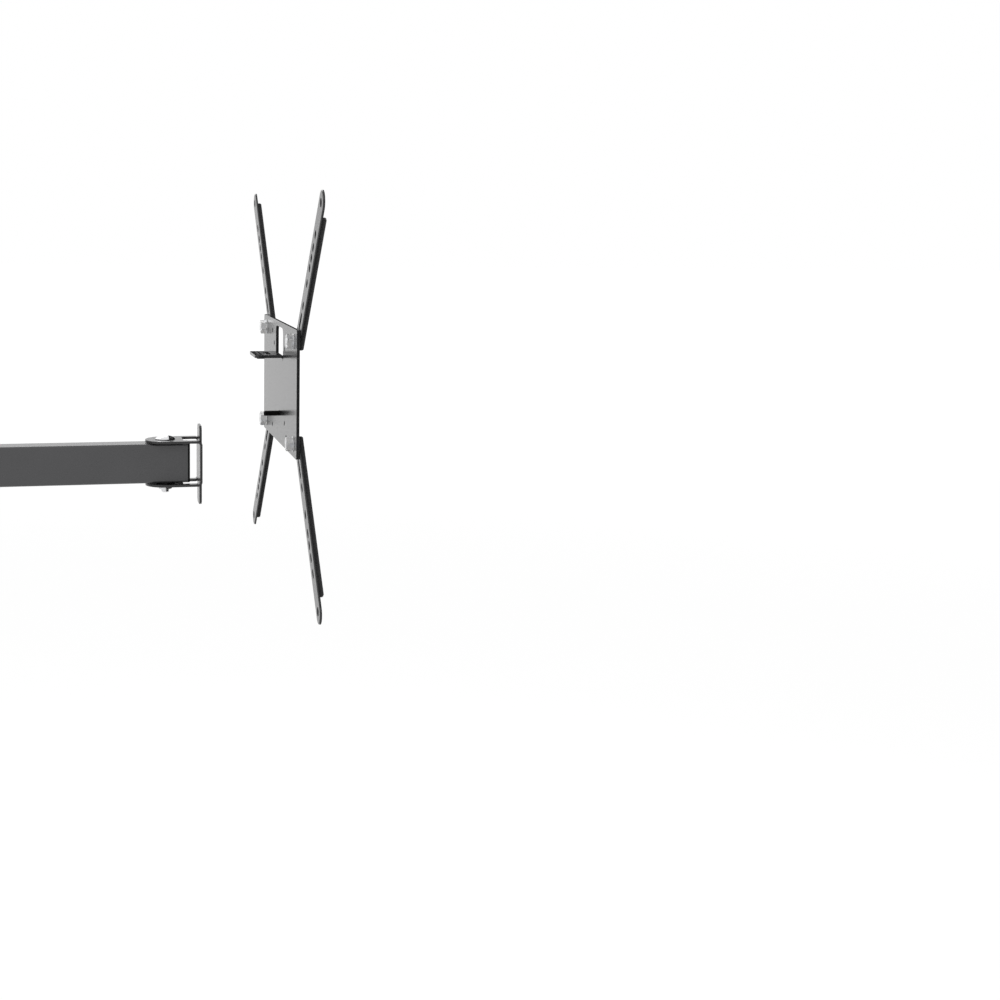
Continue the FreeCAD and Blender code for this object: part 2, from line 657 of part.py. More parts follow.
def clamp_set(corner, y_side, z_side):
    """The bolt that holds one slotted arm from behind, and its washer and nut on the wall side."""
    y, z = f"{y_side}{SLOT_PIVOT_Y}", f"{PLATE_Z} {z_side} {SLOT_PIVOT_Z}"
    stack = "plate_gauge + 2 * slot_arm_gap + slot_arm_gauge"
    bolt = new_body(f"{corner}_clamp_bolt", (f"{PLATE_X} + {stack}", y, z), ((0, 1, 0), 90))
    profile = new_sketch(bolt, bolt.Name + "_profile", "XZ_Plane")
    end = f"-({stack} + clamp_washer_thickness + clamp_nut_height + clamp_end)"
    radius, rim = "(clamp_dia / 2)", "(clamp_head_dia / 2)"
    corners = [("0", end), (f"{radius} - thread_chamfer", end), (radius, f"{end} + thread_chamfer")]
    corners += [(radius, "0"), (rim, "0"), (rim, "clamp_head_height - clamp_head_edge")]
    corners += [(f"{rim} - clamp_head_edge", "clamp_head_height"), ("0", "clamp_head_height")]
    outline(profile, corners)
    turn_about_z(bolt, profile)
    washer = new_body(f"{corner}_clamp_washer", (PLATE_X, y, z), ((0, 1, 0), -90))
    ring = new_sketch(washer, washer.Name + "_ring", "XY_Plane")
    circle(ring, "0", "0", "clamp_washer_dia / 2")
    circle(ring, "0", "0", "clamp_dia / 2 + clamp_fit")
    add(washer, ring, "clamp_washer_thickness")
    seat = (f"{PLATE_X} - clamp_washer_thickness", y, z)
    sizes = ("clamp_nut_flats", "clamp_nut_height", "clamp_dia / 2 + nut_fit")
    hex_nut(f"{corner}_clamp_nut", seat, ((0, 1, 0), -90), *sizes)


def tilt_screw():
    """A headless screw through the television plate, with a hexagon socket in its free end."""
    body = new_body("tilt_screw", (PLATE_X, "0", f"{PLATE_Z} - tilt_drop"), ((0, 1, 0), -90))
    profile = new_sketch(body, "tilt_screw_profile", "XZ_Plane")
    radius, tail = "(tilt_dia / 2)", "-(plate_gauge + tilt_nut_height + tilt_tail)"
    corners = [("0", tail), (f"{radius} - tilt_chamfer", tail), (radius, f"{tail} + tilt_chamfer")]
    corners += [(radius, "tilt_reach - tilt_chamfer"), (f"{radius} - tilt_chamfer", "tilt_reach")]
    corners += [("0", "tilt_reach")]
    outline(profile, corners)
    turn_about_z(body, profile)
    socket = new_sketch(body, "tilt_screw_socket", "XY_Plane", "tilt_reach")
    hexagon(socket, "tilt_socket_flats")
    cut(body, socket, "tilt_socket_depth")


# The wall end, and the rear arm with the elbow bracket on its far end.
half_turn = ((0, 0, 1), 180)
wall_plate()
bracket("wall_clevis", WALL_PIVOT, half_turn)
tube("rear_arm_tube", WALL_PIVOT, "rear_length - ear_reach - bracket_gauge", ["0"])
end_cap("rear_arm_cap", f"{WALL_PIVOT} - tube_overhang", half_turn)
bracket("elbow_bracket", ELBOW_PIVOT, half_turn)

# The front arm and the head bracket.
tube("front_arm_tube", ELBOW_PIVOT, "front_length + tube_overhang", ["0", "front_length"])
end_cap("front_arm_elbow_cap", f"{ELBOW_PIVOT} - tube_overhang", half_turn)
end_cap("front_arm_head_cap", f"{HEAD_PIVOT} + tube_overhang")
bracket("head_bracket", HEAD_PIVOT, tabs=True)

# The three upright pivots.
for joint, pivot_x in (("wall", WALL_PIVOT), ("elbow", ELBOW_PIVOT), ("head", HEAD_PIVOT)):
    carriage_bolt(f"{joint}_pivot_bolt", pivot_x)
    bush(f"{joint}_upper_bush", pivot_x)
    bush(f"{joint}_lower_bush", pivot_x, below=True)
    sizes = ("pivot_nut_flats", "pivot_nut_height", "pivot_dia / 2 + nut_fit")
    hex_nut(f"{joint}_pivot_nut", (pivot_x, "0", f"-{EAR_TOP}"), ((1, 0, 0), 180), *sizes)

# The television bracket.
hook_liner()
tv_plate()
for corner, y_side, z_side, angle in (
    ("upper_left", "-", "+", "180 - slot_arm_angle"),
    ("upper_right", "", "+", "slot_arm_angle"),
    ("lower_left", "-", "-", "180 + slot_arm_angle"),
    ("lower_right", "", "-", "360 - slot_arm_angle"),
):
    slot_arm(f"{corner}_slot_arm", y_side, z_side, angle)
    clamp_set(corner, y_side, z_side)
tilt_screw()
weld_seat = (f"{PLATE_X} + plate_gauge", "0", f"{PLATE_Z} - tilt_drop")
sizes = ("tilt_nut_flats", "tilt_nut_height", "tilt_dia / 2 + tilt_fit")
hex_nut("tilt_weld_nut", weld_seat, ((0, 1, 0), 90), *sizes)

doc.recompute()
for item in doc.Objects:
    faults = {"Invalid", "Error"} & set(item.State)
    if faults:
        raise RuntimeError(f"{item.Name} of {item.Label} is {faults}")
for piece in pieces:
    if piece.Shape.isNull() or not piece.Shape.isValid() or len(piece.Shape.Solids) != 1:
        raise RuntimeError(f"{piece.Label} is not one valid solid")

os.makedirs("parts", exist_ok=True)
for piece in pieces:
    piece.Shape.exportStep(f"parts/{piece.Label}.step")
    print(piece.Label, round(piece.Shape.Volume, 1), piece.Shape.BoundBox)
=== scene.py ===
import json
import math

import bmesh
import bpy
from bpy.props import FloatProperty, FloatVectorProperty, IntProperty, PointerProperty
from mathutils import Euler, Matrix, Vector


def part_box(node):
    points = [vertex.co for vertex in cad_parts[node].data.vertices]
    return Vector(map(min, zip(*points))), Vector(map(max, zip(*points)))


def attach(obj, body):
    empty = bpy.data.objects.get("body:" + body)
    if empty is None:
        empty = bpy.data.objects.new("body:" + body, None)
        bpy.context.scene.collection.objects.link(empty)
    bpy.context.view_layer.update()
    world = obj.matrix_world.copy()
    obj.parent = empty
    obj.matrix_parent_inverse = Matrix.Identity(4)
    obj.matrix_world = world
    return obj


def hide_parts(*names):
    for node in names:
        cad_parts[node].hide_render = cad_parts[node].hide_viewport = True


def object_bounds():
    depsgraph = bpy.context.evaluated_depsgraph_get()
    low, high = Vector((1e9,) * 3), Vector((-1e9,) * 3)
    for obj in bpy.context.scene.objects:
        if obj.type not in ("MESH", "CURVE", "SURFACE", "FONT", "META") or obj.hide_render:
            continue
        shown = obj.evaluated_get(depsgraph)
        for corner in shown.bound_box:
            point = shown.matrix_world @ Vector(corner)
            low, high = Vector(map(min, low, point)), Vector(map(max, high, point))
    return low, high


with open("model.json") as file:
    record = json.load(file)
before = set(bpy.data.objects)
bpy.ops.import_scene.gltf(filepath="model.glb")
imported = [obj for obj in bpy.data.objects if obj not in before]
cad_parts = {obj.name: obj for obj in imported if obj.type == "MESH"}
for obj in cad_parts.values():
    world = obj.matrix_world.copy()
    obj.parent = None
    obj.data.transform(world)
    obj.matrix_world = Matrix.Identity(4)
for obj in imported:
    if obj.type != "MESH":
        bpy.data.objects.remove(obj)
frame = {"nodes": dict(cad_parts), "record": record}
CAD_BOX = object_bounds()

bl_info = {
    "name": "Television Wall Mount",
    "version": (1, 0, 0),
    "blender": (4, 5, 0),
    "location": "View3D > Sidebar > Wall Mount",
    "description": "Finishes a swivelling television wall mount around its packed model",
    "category": "Object",
}

NODES = frame["nodes"]
BODY_OF = {
    node: body
    for body, members in frame["record"]["behaviour"]["bodies"].items()
    for node in members
}
FINISH_COLOURS = {m["slot"]: m["base_color"] for m in frame["record"]["materials"]}
PIVOTS = ("wall", "elbow", "head")
CORNERS = ("upper_left", "upper_right", "lower_left", "lower_right")
BRACKETS = ("wall_clevis", "elbow_bracket", "head_bracket")
PLATES = ("wall_plate", "tv_plate")
TUBES = ("rear_arm_tube", "front_arm_tube")
CAPS = ("rear_arm_cap", "front_arm_elbow_cap", "front_arm_head_cap")

# An edge that turns more than this is sharp, and is rounded where a finish lies on it.
SHARP_ANGLE = math.radians(32)
# Points nearer than this are one point, and facets that turn less are one face.
SAME_POINT = 1e-6
SAME_PLANE = math.radians(0.4)
# The turn that points a piece's own Z axis at the wall.
TO_WALL = (0.0, -math.pi / 2, 0.0)
# How far a thread's ridge reaches from its middle, as a share of its pitch.
THREAD_DEPTH = 0.56
# Points on a ring of a round piece and of a hexagon, and on each turn of a thread.
ROUND_STEPS = 48
HEX_STEPS = 72
THREAD_STEPS = 28
# A hexagon's round face, as a share of its width across flats.
HEX_FACE = 0.97
# Between these values lies most of what a noise gives.
NOISE_LOW, NOISE_HIGH = 0.3, 0.7
# Gloss nearer to the screen than this doesn't show it.
SCREEN_NEAR = 0.03
# Half the floor's side, the distances between which it turns wholly white, its glow at the
# nearer one, and the white that it has.
FLOOR_REACH = 30.0
FLOOR_FADE = (2.5, 8.0)
FLOOR_GLOW = 0.8
FLOOR_WHITE = 1.06
WHITE = (1.0, 1.0, 1.0, 1.0)


# Settings -------------------------------------------------------------------------------------


def length(name, description, default):
    """A length that a user may change, in metres."""
    return FloatProperty(
        name=name, description=description, default=default, min=0.0, precision=5, unit="LENGTH"
    )


def share(name, description, default):
    """A share between nothing and all."""
    return FloatProperty(
        name=name, description=description, default=default, min=0.0, max=1.0, subtype="FACTOR"
    )


def colour(name, description, slot):
    """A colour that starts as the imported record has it."""
    return FloatVectorProperty(
        name=name,
        description=description,
        default=FINISH_COLOURS[slot],
        size=3,
        min=0.0,
        max=1.0,
        subtype="COLOR",
    )


class WALLMOUNT_PG_finishes(bpy.types.PropertyGroup):
    """Colours and gloss of the mount's finishes."""

    coat: colour("Powder Coat", "Colour of the satin powder coat on steel", "black_steel")
    coat_roughness: share("Coat Roughness", "Roughness of the powder coat", 0.22)
    # Painted light and shade: one powder coat, in a copy darkened on the sheet metal and a copy
    # lightened on the tubes, by these two levels.
    sheet_painted_shade: share("Sheet Tone", "How light the coat is on the sheet metal", 0.35)
    tube_painted_light: FloatProperty(
        name="Tube Tone", description="How light the coat is on the tubes", default=1.55, min=0.0
    )
    chrome: colour("Chrome", "Colour of the pivot bolts' bright plating", "chrome")
    chrome_roughness: share("Chrome Roughness", "Roughness of the bright plating", 0.06)
    zinc: colour("Zinc", "Colour of the zinc plated fasteners", "zinc")
    zinc_roughness: share("Zinc Roughness", "Roughness of the zinc plating", 0.42)
    plastic: colour("Plastic", "Colour of the moulded end caps", "black_plastic")
    nylon: colour("Nylon", "Colour of the bushes and the hook liner", "nylon")
    black_oxide: colour("Black Oxide", "Colour of the tilt screw", "black_screw")


class WALLMOUNT_PG_sizes(bpy.types.PropertyGroup):
    """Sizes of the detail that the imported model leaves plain."""

    sheet_edge: length("Sheet Edge", "Rounding of a coated sheet's cut edges", 0.0003)
    tube_edge: length("Tube Edge", "Rounding of the tubes' cut edges", 0.00025)
    moulded_edge: length("Moulded Edge", "Rounding of a moulded piece's edges", 0.00015)
    turned_edge: length("Turned Edge", "Rounding of a fastener's edges", 0.00012)
    pivot_pitch: length("Pivot Thread Pitch", "Pitch of the pivot bolts' thread", 0.00125)
    clamp_pitch: length("Clamp Thread Pitch", "Pitch of the clamp bolts' thread", 0.00125)
    tilt_pitch: length("Tilt Thread Pitch", "Pitch of the tilt screw's thread", 0.001)
    bead_pitch: length("Weld Ripple", "Distance from one ripple of a weld to the next", 0.0011)
    bead_width: length("Weld Width", "Width of the weld beads", 0.0042)


class WALLMOUNT_PG_stage(bpy.types.PropertyGroup):
    """Camera, floor and lamps."""

    camera_place: FloatVectorProperty(
        name="Camera Place",
        description="Where the camera stands",
        default=(0.3882, -1.5892, 0.2563),
        subtype="XYZ",
        unit="LENGTH",
    )
    heading: FloatProperty(
        name="Heading",
        description="Turn of the camera's view from +Y towards +X",
        default=math.radians(14.01),
        subtype="ANGLE",
    )
    dip: FloatProperty(
        name="Dip",
        description="How far the camera looks down",
        default=math.radians(6.13),
        subtype="ANGLE",
    )
    roll: FloatProperty(
        name="Roll",
        description="Turn of the camera about its own view",
        default=math.radians(0.90),
        subtype="ANGLE",
    )
    lens: FloatProperty(
        name="Lens", description="Focal length in millimetres", default=56.25, min=1.0
    )
    shift_x: FloatProperty(name="Shift X", description="Sideways shift of the lens", default=0.06)
    shift_y: FloatProperty(name="Shift Y", description="Upright shift of the lens", default=-0.12)
    floor_height: FloatProperty(
        name="Floor Height",
        description="Height of the floor below the wall plate's middle",
        default=-0.9,
        unit="LENGTH",
    )
    room_light: FloatProperty(
        name="Room Light", description="Even light from all round", default=0.62, min=0.0
    )
    screen_width: length("Screen Width", "Width of the screen that gloss shows behind the mount", 1.0)
    screen_height: length("Screen Height", "Height of that screen", 0.57)
    screen_gap: length("Screen Gap", "Room between the mount and that screen", 0.004)
    screen_glow: share("Screen Glow", "How bright that screen looks in gloss", 0.012)
    lamp_power: FloatProperty(
        name="Lamp Power", description="Power of the main lamp in watts", default=20.0, min=0.0
    )
    chance_seed: IntProperty(
        name="Chance Seed", description="Seed of the small chance turns and sizes", default=4
    )


# Node trees -----------------------------------------------------------------------------------


def add(tree, kind, inputs=None, **settings):
    """A new node. An input that is given a socket is linked to it; any other value is set on it."""
    made = tree.nodes.new(kind)
    for name, value in settings.items():
        setattr(made, name, value)
    for name, value in (inputs or {}).items():
        socket = made.inputs[name]
        if isinstance(value, bpy.types.NodeSocket):
            tree.links.new(value, socket)
        else:
            socket.default_value = value
    return made


def math_node(tree, operation, first, second, clamp=False):
    """A Math node's result."""
    made = add(tree, "ShaderNodeMath", {0: first, 1: second}, operation=operation, use_clamp=clamp)
    return made.outputs[0]


def spread(tree, value, low, high, to_low, to_high):
    """A value taken from one range to another."""
    made = add(
        tree,
        "ShaderNodeMapRange",
        {"Value": value, "From Min": low, "From Max": high, "To Min": to_low, "To Max": to_high},
    )
    return made.outputs["Result"]


def mixed(tree, factor, first, second):
    """Two colours mixed by a factor; either may be a socket or three numbers."""
    ends = [
        end if isinstance(end, bpy.types.NodeSocket) else (*end, 1.0) for end in (first, second)
    ]
    inputs = {0: factor, 6: ends[0], 7: ends[1]}
    return add(tree, "ShaderNodeMix", inputs, data_type="RGBA").outputs[2]


def noise(tree, place, scale, detail=3.0, roughness=0.55):
    """Even noise through the piece, its scale in swirls to the metre."""
    made = add(
        tree,
        "ShaderNodeTexNoise",
        {"Vector": place, "Scale": scale, "Detail": detail, "Roughness": roughness},
    )
    return made.outputs["Fac"]


def bumps(tree, height, depth, strength):
    """Relief of a given depth in metres."""
    inputs = {"Height": height, "Distance": depth, "Strength": strength}
    return add(tree, "ShaderNodeBump", inputs).outputs["Normal"]


def gloss(tree, pattern, smoothest, roughest):
    """A roughness that follows a noise."""
    return spread(tree, pattern, NOISE_LOW, NOISE_HIGH, smoothest, roughest)


def edge_wear_and_highlight(tree, patches, reach):
    """How much a surface turns away within reach of a point, broken up by patches: the mask of worn
    edges and of painted edge highlights.
    """
    rounded = add(tree, "ShaderNodeBevel", {"Radius": reach}, samples=6)
    flat = add(tree, "ShaderNodeNewGeometry")
    turned = add(
        tree,
        "ShaderNodeVectorMath",
        {0: rounded.outputs["Normal"], 1: flat.outputs["Normal"]},
        operation="DOT_PRODUCT",
    )
    # Cosines of the turns where the edge mark begins and where it is full.
    mark_begins, mark_full = 0.995, 0.88
    edge = spread(tree, turned.outputs["Value"], mark_begins, mark_full, 0.0, 1.0)
    return math_node(tree, "MULTIPLY", edge, patches, clamp=True)


def bare_material(name):
    """A material and its node tree, with nothing in it."""
    made = bpy.data.materials.new(name)
    made.use_nodes = True
    made.node_tree.nodes.clear()
    return made, made.node_tree


def new_material(name):
    """A material with its node tree, its shader and the Object coordinates."""
    made, tree = bare_material(name)
    shader = add(tree, "ShaderNodeBsdfPrincipled")
    add(tree, "ShaderNodeOutputMaterial", {"Surface": shader.outputs[0]})
    place = add(tree, "ShaderNodeTexCoord").outputs["Object"]
    return made, tree, shader, place


def join_shader(tree, shader, base, roughness, normal):
    """The shader takes its colour, its roughness and its relief from nodes."""
    tree.links.new(base, shader.inputs["Base Color"])
    tree.links.new(roughness, shader.inputs["Roughness"])
    tree.links.new(normal, shader.inputs["Normal"])


def tinted(tint, amount):
    """A colour made lighter or darker by a share."""
    return [min(1.0, part * amount) for part in tint]


def clouded(tree, pattern, tint, darkest, lightest):
    """A colour that a noise makes darker and lighter, between two shares of it."""
    return mixed(tree, pattern, tinted(tint, darkest), tinted(tint, lightest))


def powder_coat(finishes, name, painted_light_and_shade):
    """Satin black powder coat: faint clouds, fine orange peel, pale flecks, and edges both rubbed and
    lightened as a painted highlight; a level of painted light and shade sets how light it is.
    """
    made, tree, shader, place = new_material(name)
    clouds = noise(tree, place, 22, detail=4)
    peel = noise(tree, place, 620, detail=2)
    grain = noise(tree, place, 2600, detail=2)
    # Painted light and shade: the level scales the coat's colour, darker for shaded parts and lighter
    # for lit ones.
    base = clouded(tree, clouds, finishes.coat, 0.75 * painted_light_and_shade, painted_light_and_shade)
    flecks = spread(tree, grain, 0.62, 0.8, 0.0, 0.35)
    base = mixed(tree, flecks, base, tinted(finishes.coat, 2.2 * painted_light_and_shade))
    patches = spread(tree, noise(tree, place, 160, detail=5), 0.42, 0.7, 0.1, 1.0)
    # Painted highlight along the sharp edges, with some rubbing wear: the coat lightens towards a pale
    # grey there and its roughness drops.
    rubbing_and_highlight = edge_wear_and_highlight(tree, patches, reach=0.0007)
    rubbed_highlight_grey = (0.16, 0.16, 0.165)
    base = mixed(tree, math_node(tree, "MULTIPLY", rubbing_and_highlight, 0.5), base, rubbed_highlight_grey)
    middle = finishes.coat_roughness
    rough = gloss(tree, peel, middle - 0.07, middle + 0.07)
    rough = math_node(tree, "SUBTRACT", rough, math_node(tree, "MULTIPLY", rubbing_and_highlight, 0.12))
    relief = math_node(tree, "ADD", math_node(tree, "MULTIPLY", grain, 0.35), peel)
    join_shader(tree, shader, base, rough, bumps(tree, relief, depth=0.00003, strength=0.28))
    return made


def sheet_coat_painted_shade(finishes):
    """The powder coat darkened on the sheet metal, as painted shade."""
    return powder_coat(finishes, "sheet_coat_painted_shade", finishes.sheet_painted_shade)


def tube_coat_painted_light(finishes):
    """The powder coat lightened on the drawn tubes, as painted light."""
    return powder_coat(finishes, "tube_coat_painted_light", finishes.tube_painted_light)


def bright_chrome(finishes):
    """Bright plated steel with faint clouds and the finest grain in its polish."""
    made, tree, shader, place = new_material("bright_chrome")
    clouds = noise(tree, place, 90, detail=4)
    fine = noise(tree, place, 3200, detail=2)
    base = clouded(tree, clouds, finishes.chrome, 0.9, 1.08)
    middle = finishes.chrome_roughness
    rough = gloss(tree, clouds, middle - 0.03, middle + 0.06)
    join_shader(tree, shader, base, rough, bumps(tree, fine, depth=0.000006, strength=0.2))
    shader.inputs["Metallic"].default_value = 1.0
    return made


def zinc_plate(finishes):
    """Zinc plate: a soft cloudy grey with a faint warm cast in places."""
    made, tree, shader, place = new_material("zinc_plate")
    clouds = noise(tree, place, 260, detail=5, roughness=0.6)
    fine = noise(tree, place, 4200, detail=2)
    bright = tinted(finishes.zinc, 1.18)
    warm = [bright[0] * 1.03, bright[1], bright[2] * 0.95]
    base = mixed(tree, spread(tree, clouds, 0.35, 0.65, 0.0, 1.0), bright, warm)
    dull = spread(tree, fine, 0.55, 0.75, 0.0, 0.3)
    base = mixed(tree, dull, base, finishes.zinc)
    middle = finishes.zinc_roughness
    rough = gloss(tree, clouds, middle - 0.05, middle + 0.08)
    join_shader(tree, shader, base, rough, bumps(tree, fine, depth=0.000004, strength=0.2))
    shader.inputs["Metallic"].default_value = 1.0
    return made


def moulded_plastic(finishes):
    """Matt black plastic with the grain of a spark-eroded mould."""
    made, tree, shader, place = new_material("moulded_plastic")
    grain = noise(tree, place, 2100, detail=3, roughness=0.7)
    clouds = noise(tree, place, 60)
    # The plastic's colour is taken down to between a tenth and three tenths of itself, with little
    # gloss, so that the caps render near black.
    base = clouded(tree, clouds, finishes.plastic, 0.1, 0.3)
    rough = gloss(tree, grain, 0.48, 0.66)
    join_shader(tree, shader, base, rough, bumps(tree, grain, depth=0.00004, strength=0.45))
    shader.inputs["Specular IOR Level"].default_value = 0.08
    return made


def moulded_nylon(finishes):
    """Smooth dark nylon with a waxy bloom."""
    made, tree, shader, place = new_material("moulded_nylon")
    clouds = noise(tree, place, 180, detail=4)
    grain = noise(tree, place, 1500, detail=2)
    base = clouded(tree, clouds, finishes.nylon, 0.75, 1.25)
    rough = gloss(tree, clouds, 0.34, 0.5)
    join_shader(tree, shader, base, rough, bumps(tree, grain, depth=0.00002, strength=0.2))
    return made


def black_oxide(finishes):
    """Blackened steel, darkened further as painted shade, dull with oil and a little bare on its
    crests.
    """
    made, tree, shader, place = new_material("black_oxide")
    clouds = noise(tree, place, 420, detail=4)
    grain = noise(tree, place, 3800, detail=2)
    patches = spread(tree, clouds, 0.4, 0.65, 0.1, 0.8)
    rubbing_and_highlight = edge_wear_and_highlight(tree, patches, reach=0.0003)
    bare = (0.16, 0.15, 0.14)
    # Painted shade: the blackened colour is taken down to between a tenth and three tenths of itself.
    base = clouded(tree, clouds, finishes.black_oxide, 0.1, 0.3)
    base = mixed(tree, math_node(tree, "MULTIPLY", rubbing_and_highlight, 0.1), base, bare)
    rough = gloss(tree, clouds, 0.3, 0.46)
    join_shader(tree, shader, base, rough, bumps(tree, grain, depth=0.00001, strength=0.3))
    shader.inputs["Specular IOR Level"].default_value = 0.06
    return made


FINISHES = {
    "black_steel": ("sheet_coat_painted_shade", sheet_coat_painted_shade),
    "black_tube_painted_light": ("tube_coat_painted_light", tube_coat_painted_light),
    "chrome": ("bright_chrome", bright_chrome),
    "zinc": ("zinc_plate", zinc_plate),
    "black_plastic": ("moulded_plastic", moulded_plastic),
    "nylon": ("moulded_nylon", moulded_nylon),
    "black_screw": ("black_oxide", black_oxide),
}


def finish(slot):
    """The material of one of the finishes, made when it is first asked for."""
    name, make = FINISHES[slot]
    return bpy.data.materials.get(name) or make(bpy.context.scene.wall_mount_finishes)


# Geometry node trees --------------------------------------------------------------------------


def new_tree(name, sockets):
    """A geometry tree with the named inputs, its input node and its output node."""
    tree = bpy.data.node_groups.new(name, "GeometryNodeTree")
    tree.interface.new_socket("Geometry", in_out="OUTPUT", socket_type="NodeSocketGeometry")
    sockets = [("Geometry", "Geometry"), *sockets, ("Material", "Material")]
    for label, kind in sockets:
        tree.interface.new_socket(label, in_out="INPUT", socket_type=f"NodeSocket{kind}")
    return tree, add(tree, "NodeGroupInput").outputs, add(tree, "NodeGroupOutput")


def end_tree(tree, geometry, given, output):
    """Real geometry in the finish that the tree was given."""
    whole = add(tree, "GeometryNodeRealizeInstances", {"Geometry": geometry})
    finished = add(
        tree,
        "GeometryNodeSetMaterial",
        {"Geometry": whole.outputs[0], "Material": given["Material"]},
    )
    tree.links.new(finished.outputs[0], output.inputs[0])


def vector(tree, x=0.0, y=0.0, z=0.0):
    """A vector from numbers or sockets."""
    return add(tree, "ShaderNodeCombineXYZ", {"X": x, "Y": y, "Z": z}).outputs[0]


def thread_tree():
    """A V-shaped ridge wound about the Z axis, added to the plain fastener."""
    names = ("Radius", "Pitch", "Start", "Length")
    tree, given, output = new_tree("Screw Thread", [(name, "Float") for name in names])
    ridge = math_node(tree, "MULTIPLY", given["Pitch"], THREAD_DEPTH)
    turns = math_node(tree, "DIVIDE", given["Length"], given["Pitch"])
    middle = math_node(tree, "SUBTRACT", given["Radius"], ridge)
    helix = add(
        tree,
        "GeometryNodeCurveSpiral",
        {
            "Resolution": THREAD_STEPS,
            "Rotations": turns,
            "Start Radius": middle,
            "End Radius": middle,
            "Height": given["Length"],
        },
    )
    upright = add(
        tree, "GeometryNodeSetCurveNormal", {"Curve": helix.outputs[0]}, mode="Z_UP"
    )
    corners = 3
    section = add(
        tree, "GeometryNodeCurvePrimitiveCircle", {"Resolution": corners, "Radius": ridge}
    )
    outwards = add(
        tree,
        "GeometryNodeTransform",
        {"Geometry": section.outputs["Curve"], "Rotation": (0.0, 0.0, math.pi)},
    )
    swept = add(
        tree,
        "GeometryNodeCurveToMesh",
        {"Curve": upright.outputs[0], "Profile Curve": outwards.outputs[0], "Fill Caps": True},
    )
    lifted = add(
        tree,
        "GeometryNodeTransform",
        {"Geometry": swept.outputs[0], "Translation": vector(tree, z=given["Start"])},
    )
    both = add(tree, "GeometryNodeJoinGeometry")
    tree.links.new(given["Geometry"], both.inputs[0])
    tree.links.new(lifted.outputs[0], both.inputs[0])
    end_tree(tree, both.outputs[0], given, output)
    return tree


def pattern_tree():
    """Copies of a fastener on a rectangle of places, each turned a little about its own axis."""
    sockets = [("Rows", "Int"), ("Columns", "Int"), ("Rows Apart", "Float")]
    sockets += [("Columns Apart", "Float"), ("Centre", "Vector"), ("Facing", "Rotation")]
    sockets += [("Chance Turn", "Float"), ("Seed", "Int")]
    tree, given, output = new_tree("Fastener Pattern", sockets)
    places = add(
        tree,
        "GeometryNodeMeshGrid",
        {
            "Size X": given["Columns Apart"],
            "Size Y": given["Rows Apart"],
            "Vertices X": given["Columns"],
            "Vertices Y": given["Rows"],
        },
    )
    standing = add(
        tree,
        "GeometryNodeTransform",
        {
            "Geometry": places.outputs["Mesh"],
            "Translation": given["Centre"],
            "Rotation": given["Facing"],
        },
    )
    copies = add(
        tree,
        "GeometryNodeInstanceOnPoints",
        {
            "Points": standing.outputs[0],
            "Instance": given["Geometry"],
            "Rotation": given["Facing"],
        },
    )
    turn = add(
        tree,
        "FunctionNodeRandomValue",
        {
            "Min": math_node(tree, "MULTIPLY", given["Chance Turn"], -1.0),
            "Max": given["Chance Turn"],
            "Seed": given["Seed"],
        },
    )
    turned = add(
        tree,
        "GeometryNodeRotateInstances",
        {"Instances": copies.outputs[0], "Rotation": vector(tree, z=turn.outputs["Value"])},
    )
    end_tree(tree, turned.outputs[0], given, output)
    return tree


def weld_tree():
    """Overlapping ripples of weld metal along a path, each a flattened ball."""
    flatness, smallest, largest = 0.42, 0.9, 1.08
    sockets = [("Ripple", "Float"), ("Width", "Float"), ("Seed", "Int")]
    tree, given, output = new_tree("Weld Bead", sockets)
    path = add(tree, "GeometryNodeMeshToCurve", {"Mesh": given["Geometry"]})
    even = add(
        tree,
        "GeometryNodeResampleCurve",
        {"Curve": path.outputs[0], "Length": given["Ripple"]},
        mode="LENGTH",
    )
    tangent = add(tree, "GeometryNodeInputTangent")
    facing = add(
        tree,
        "FunctionNodeAlignRotationToVector",
        {"Vector": tangent.outputs[0]},
        axis="Z",
    )
    radius = math_node(tree, "MULTIPLY", given["Width"], 0.5)
    ripple = add(
        tree, "GeometryNodeMeshUVSphere", {"Segments": 12, "Rings": 8, "Radius": radius}
    )
    size = add(
        tree,
        "FunctionNodeRandomValue",
        {"Min": smallest, "Max": largest, "Seed": given["Seed"]},
    )
    across = size.outputs["Value"]
    along = math_node(tree, "MULTIPLY", across, flatness)
    copies = add(
        tree,
        "GeometryNodeInstanceOnPoints",
        {
            "Points": even.outputs[0],
            "Instance": ripple.outputs["Mesh"],
            "Rotation": facing.outputs[0],
            "Scale": vector(tree, across, across, along),
        },
    )
    end_tree(tree, copies.outputs[0], given, output)
    return tree


TREES = {
    "Screw Thread": thread_tree,
    "Fastener Pattern": pattern_tree,
    "Weld Bead": weld_tree,
}


def grow(piece, name, slot, **values):
    """A modifier of the named tree on the piece, its inputs set through their identifiers."""
    tree = bpy.data.node_groups.get(name) or TREES[name]()
    modifier = piece.modifiers.new(name, "NODES")
    modifier.node_group = tree
    values["Material"] = finish(slot)
    inputs = {
        item.name: item.identifier
        for item in tree.interface.items_tree
        if item.item_type == "SOCKET" and item.in_out == "INPUT"
    }
    for label, value in values.items():
        modifier[inputs[label.replace("_", " ")]] = value


# Pieces ---------------------------------------------------------------------------------------


def new_piece(name, form):
    """An object in the scene with the mesh that was built in the form."""
    mesh = bpy.data.meshes.new(name)
    form.to_mesh(mesh)
    form.free()
    piece = bpy.data.objects.new(name, mesh)
    bpy.context.scene.collection.objects.link(piece)
    return piece


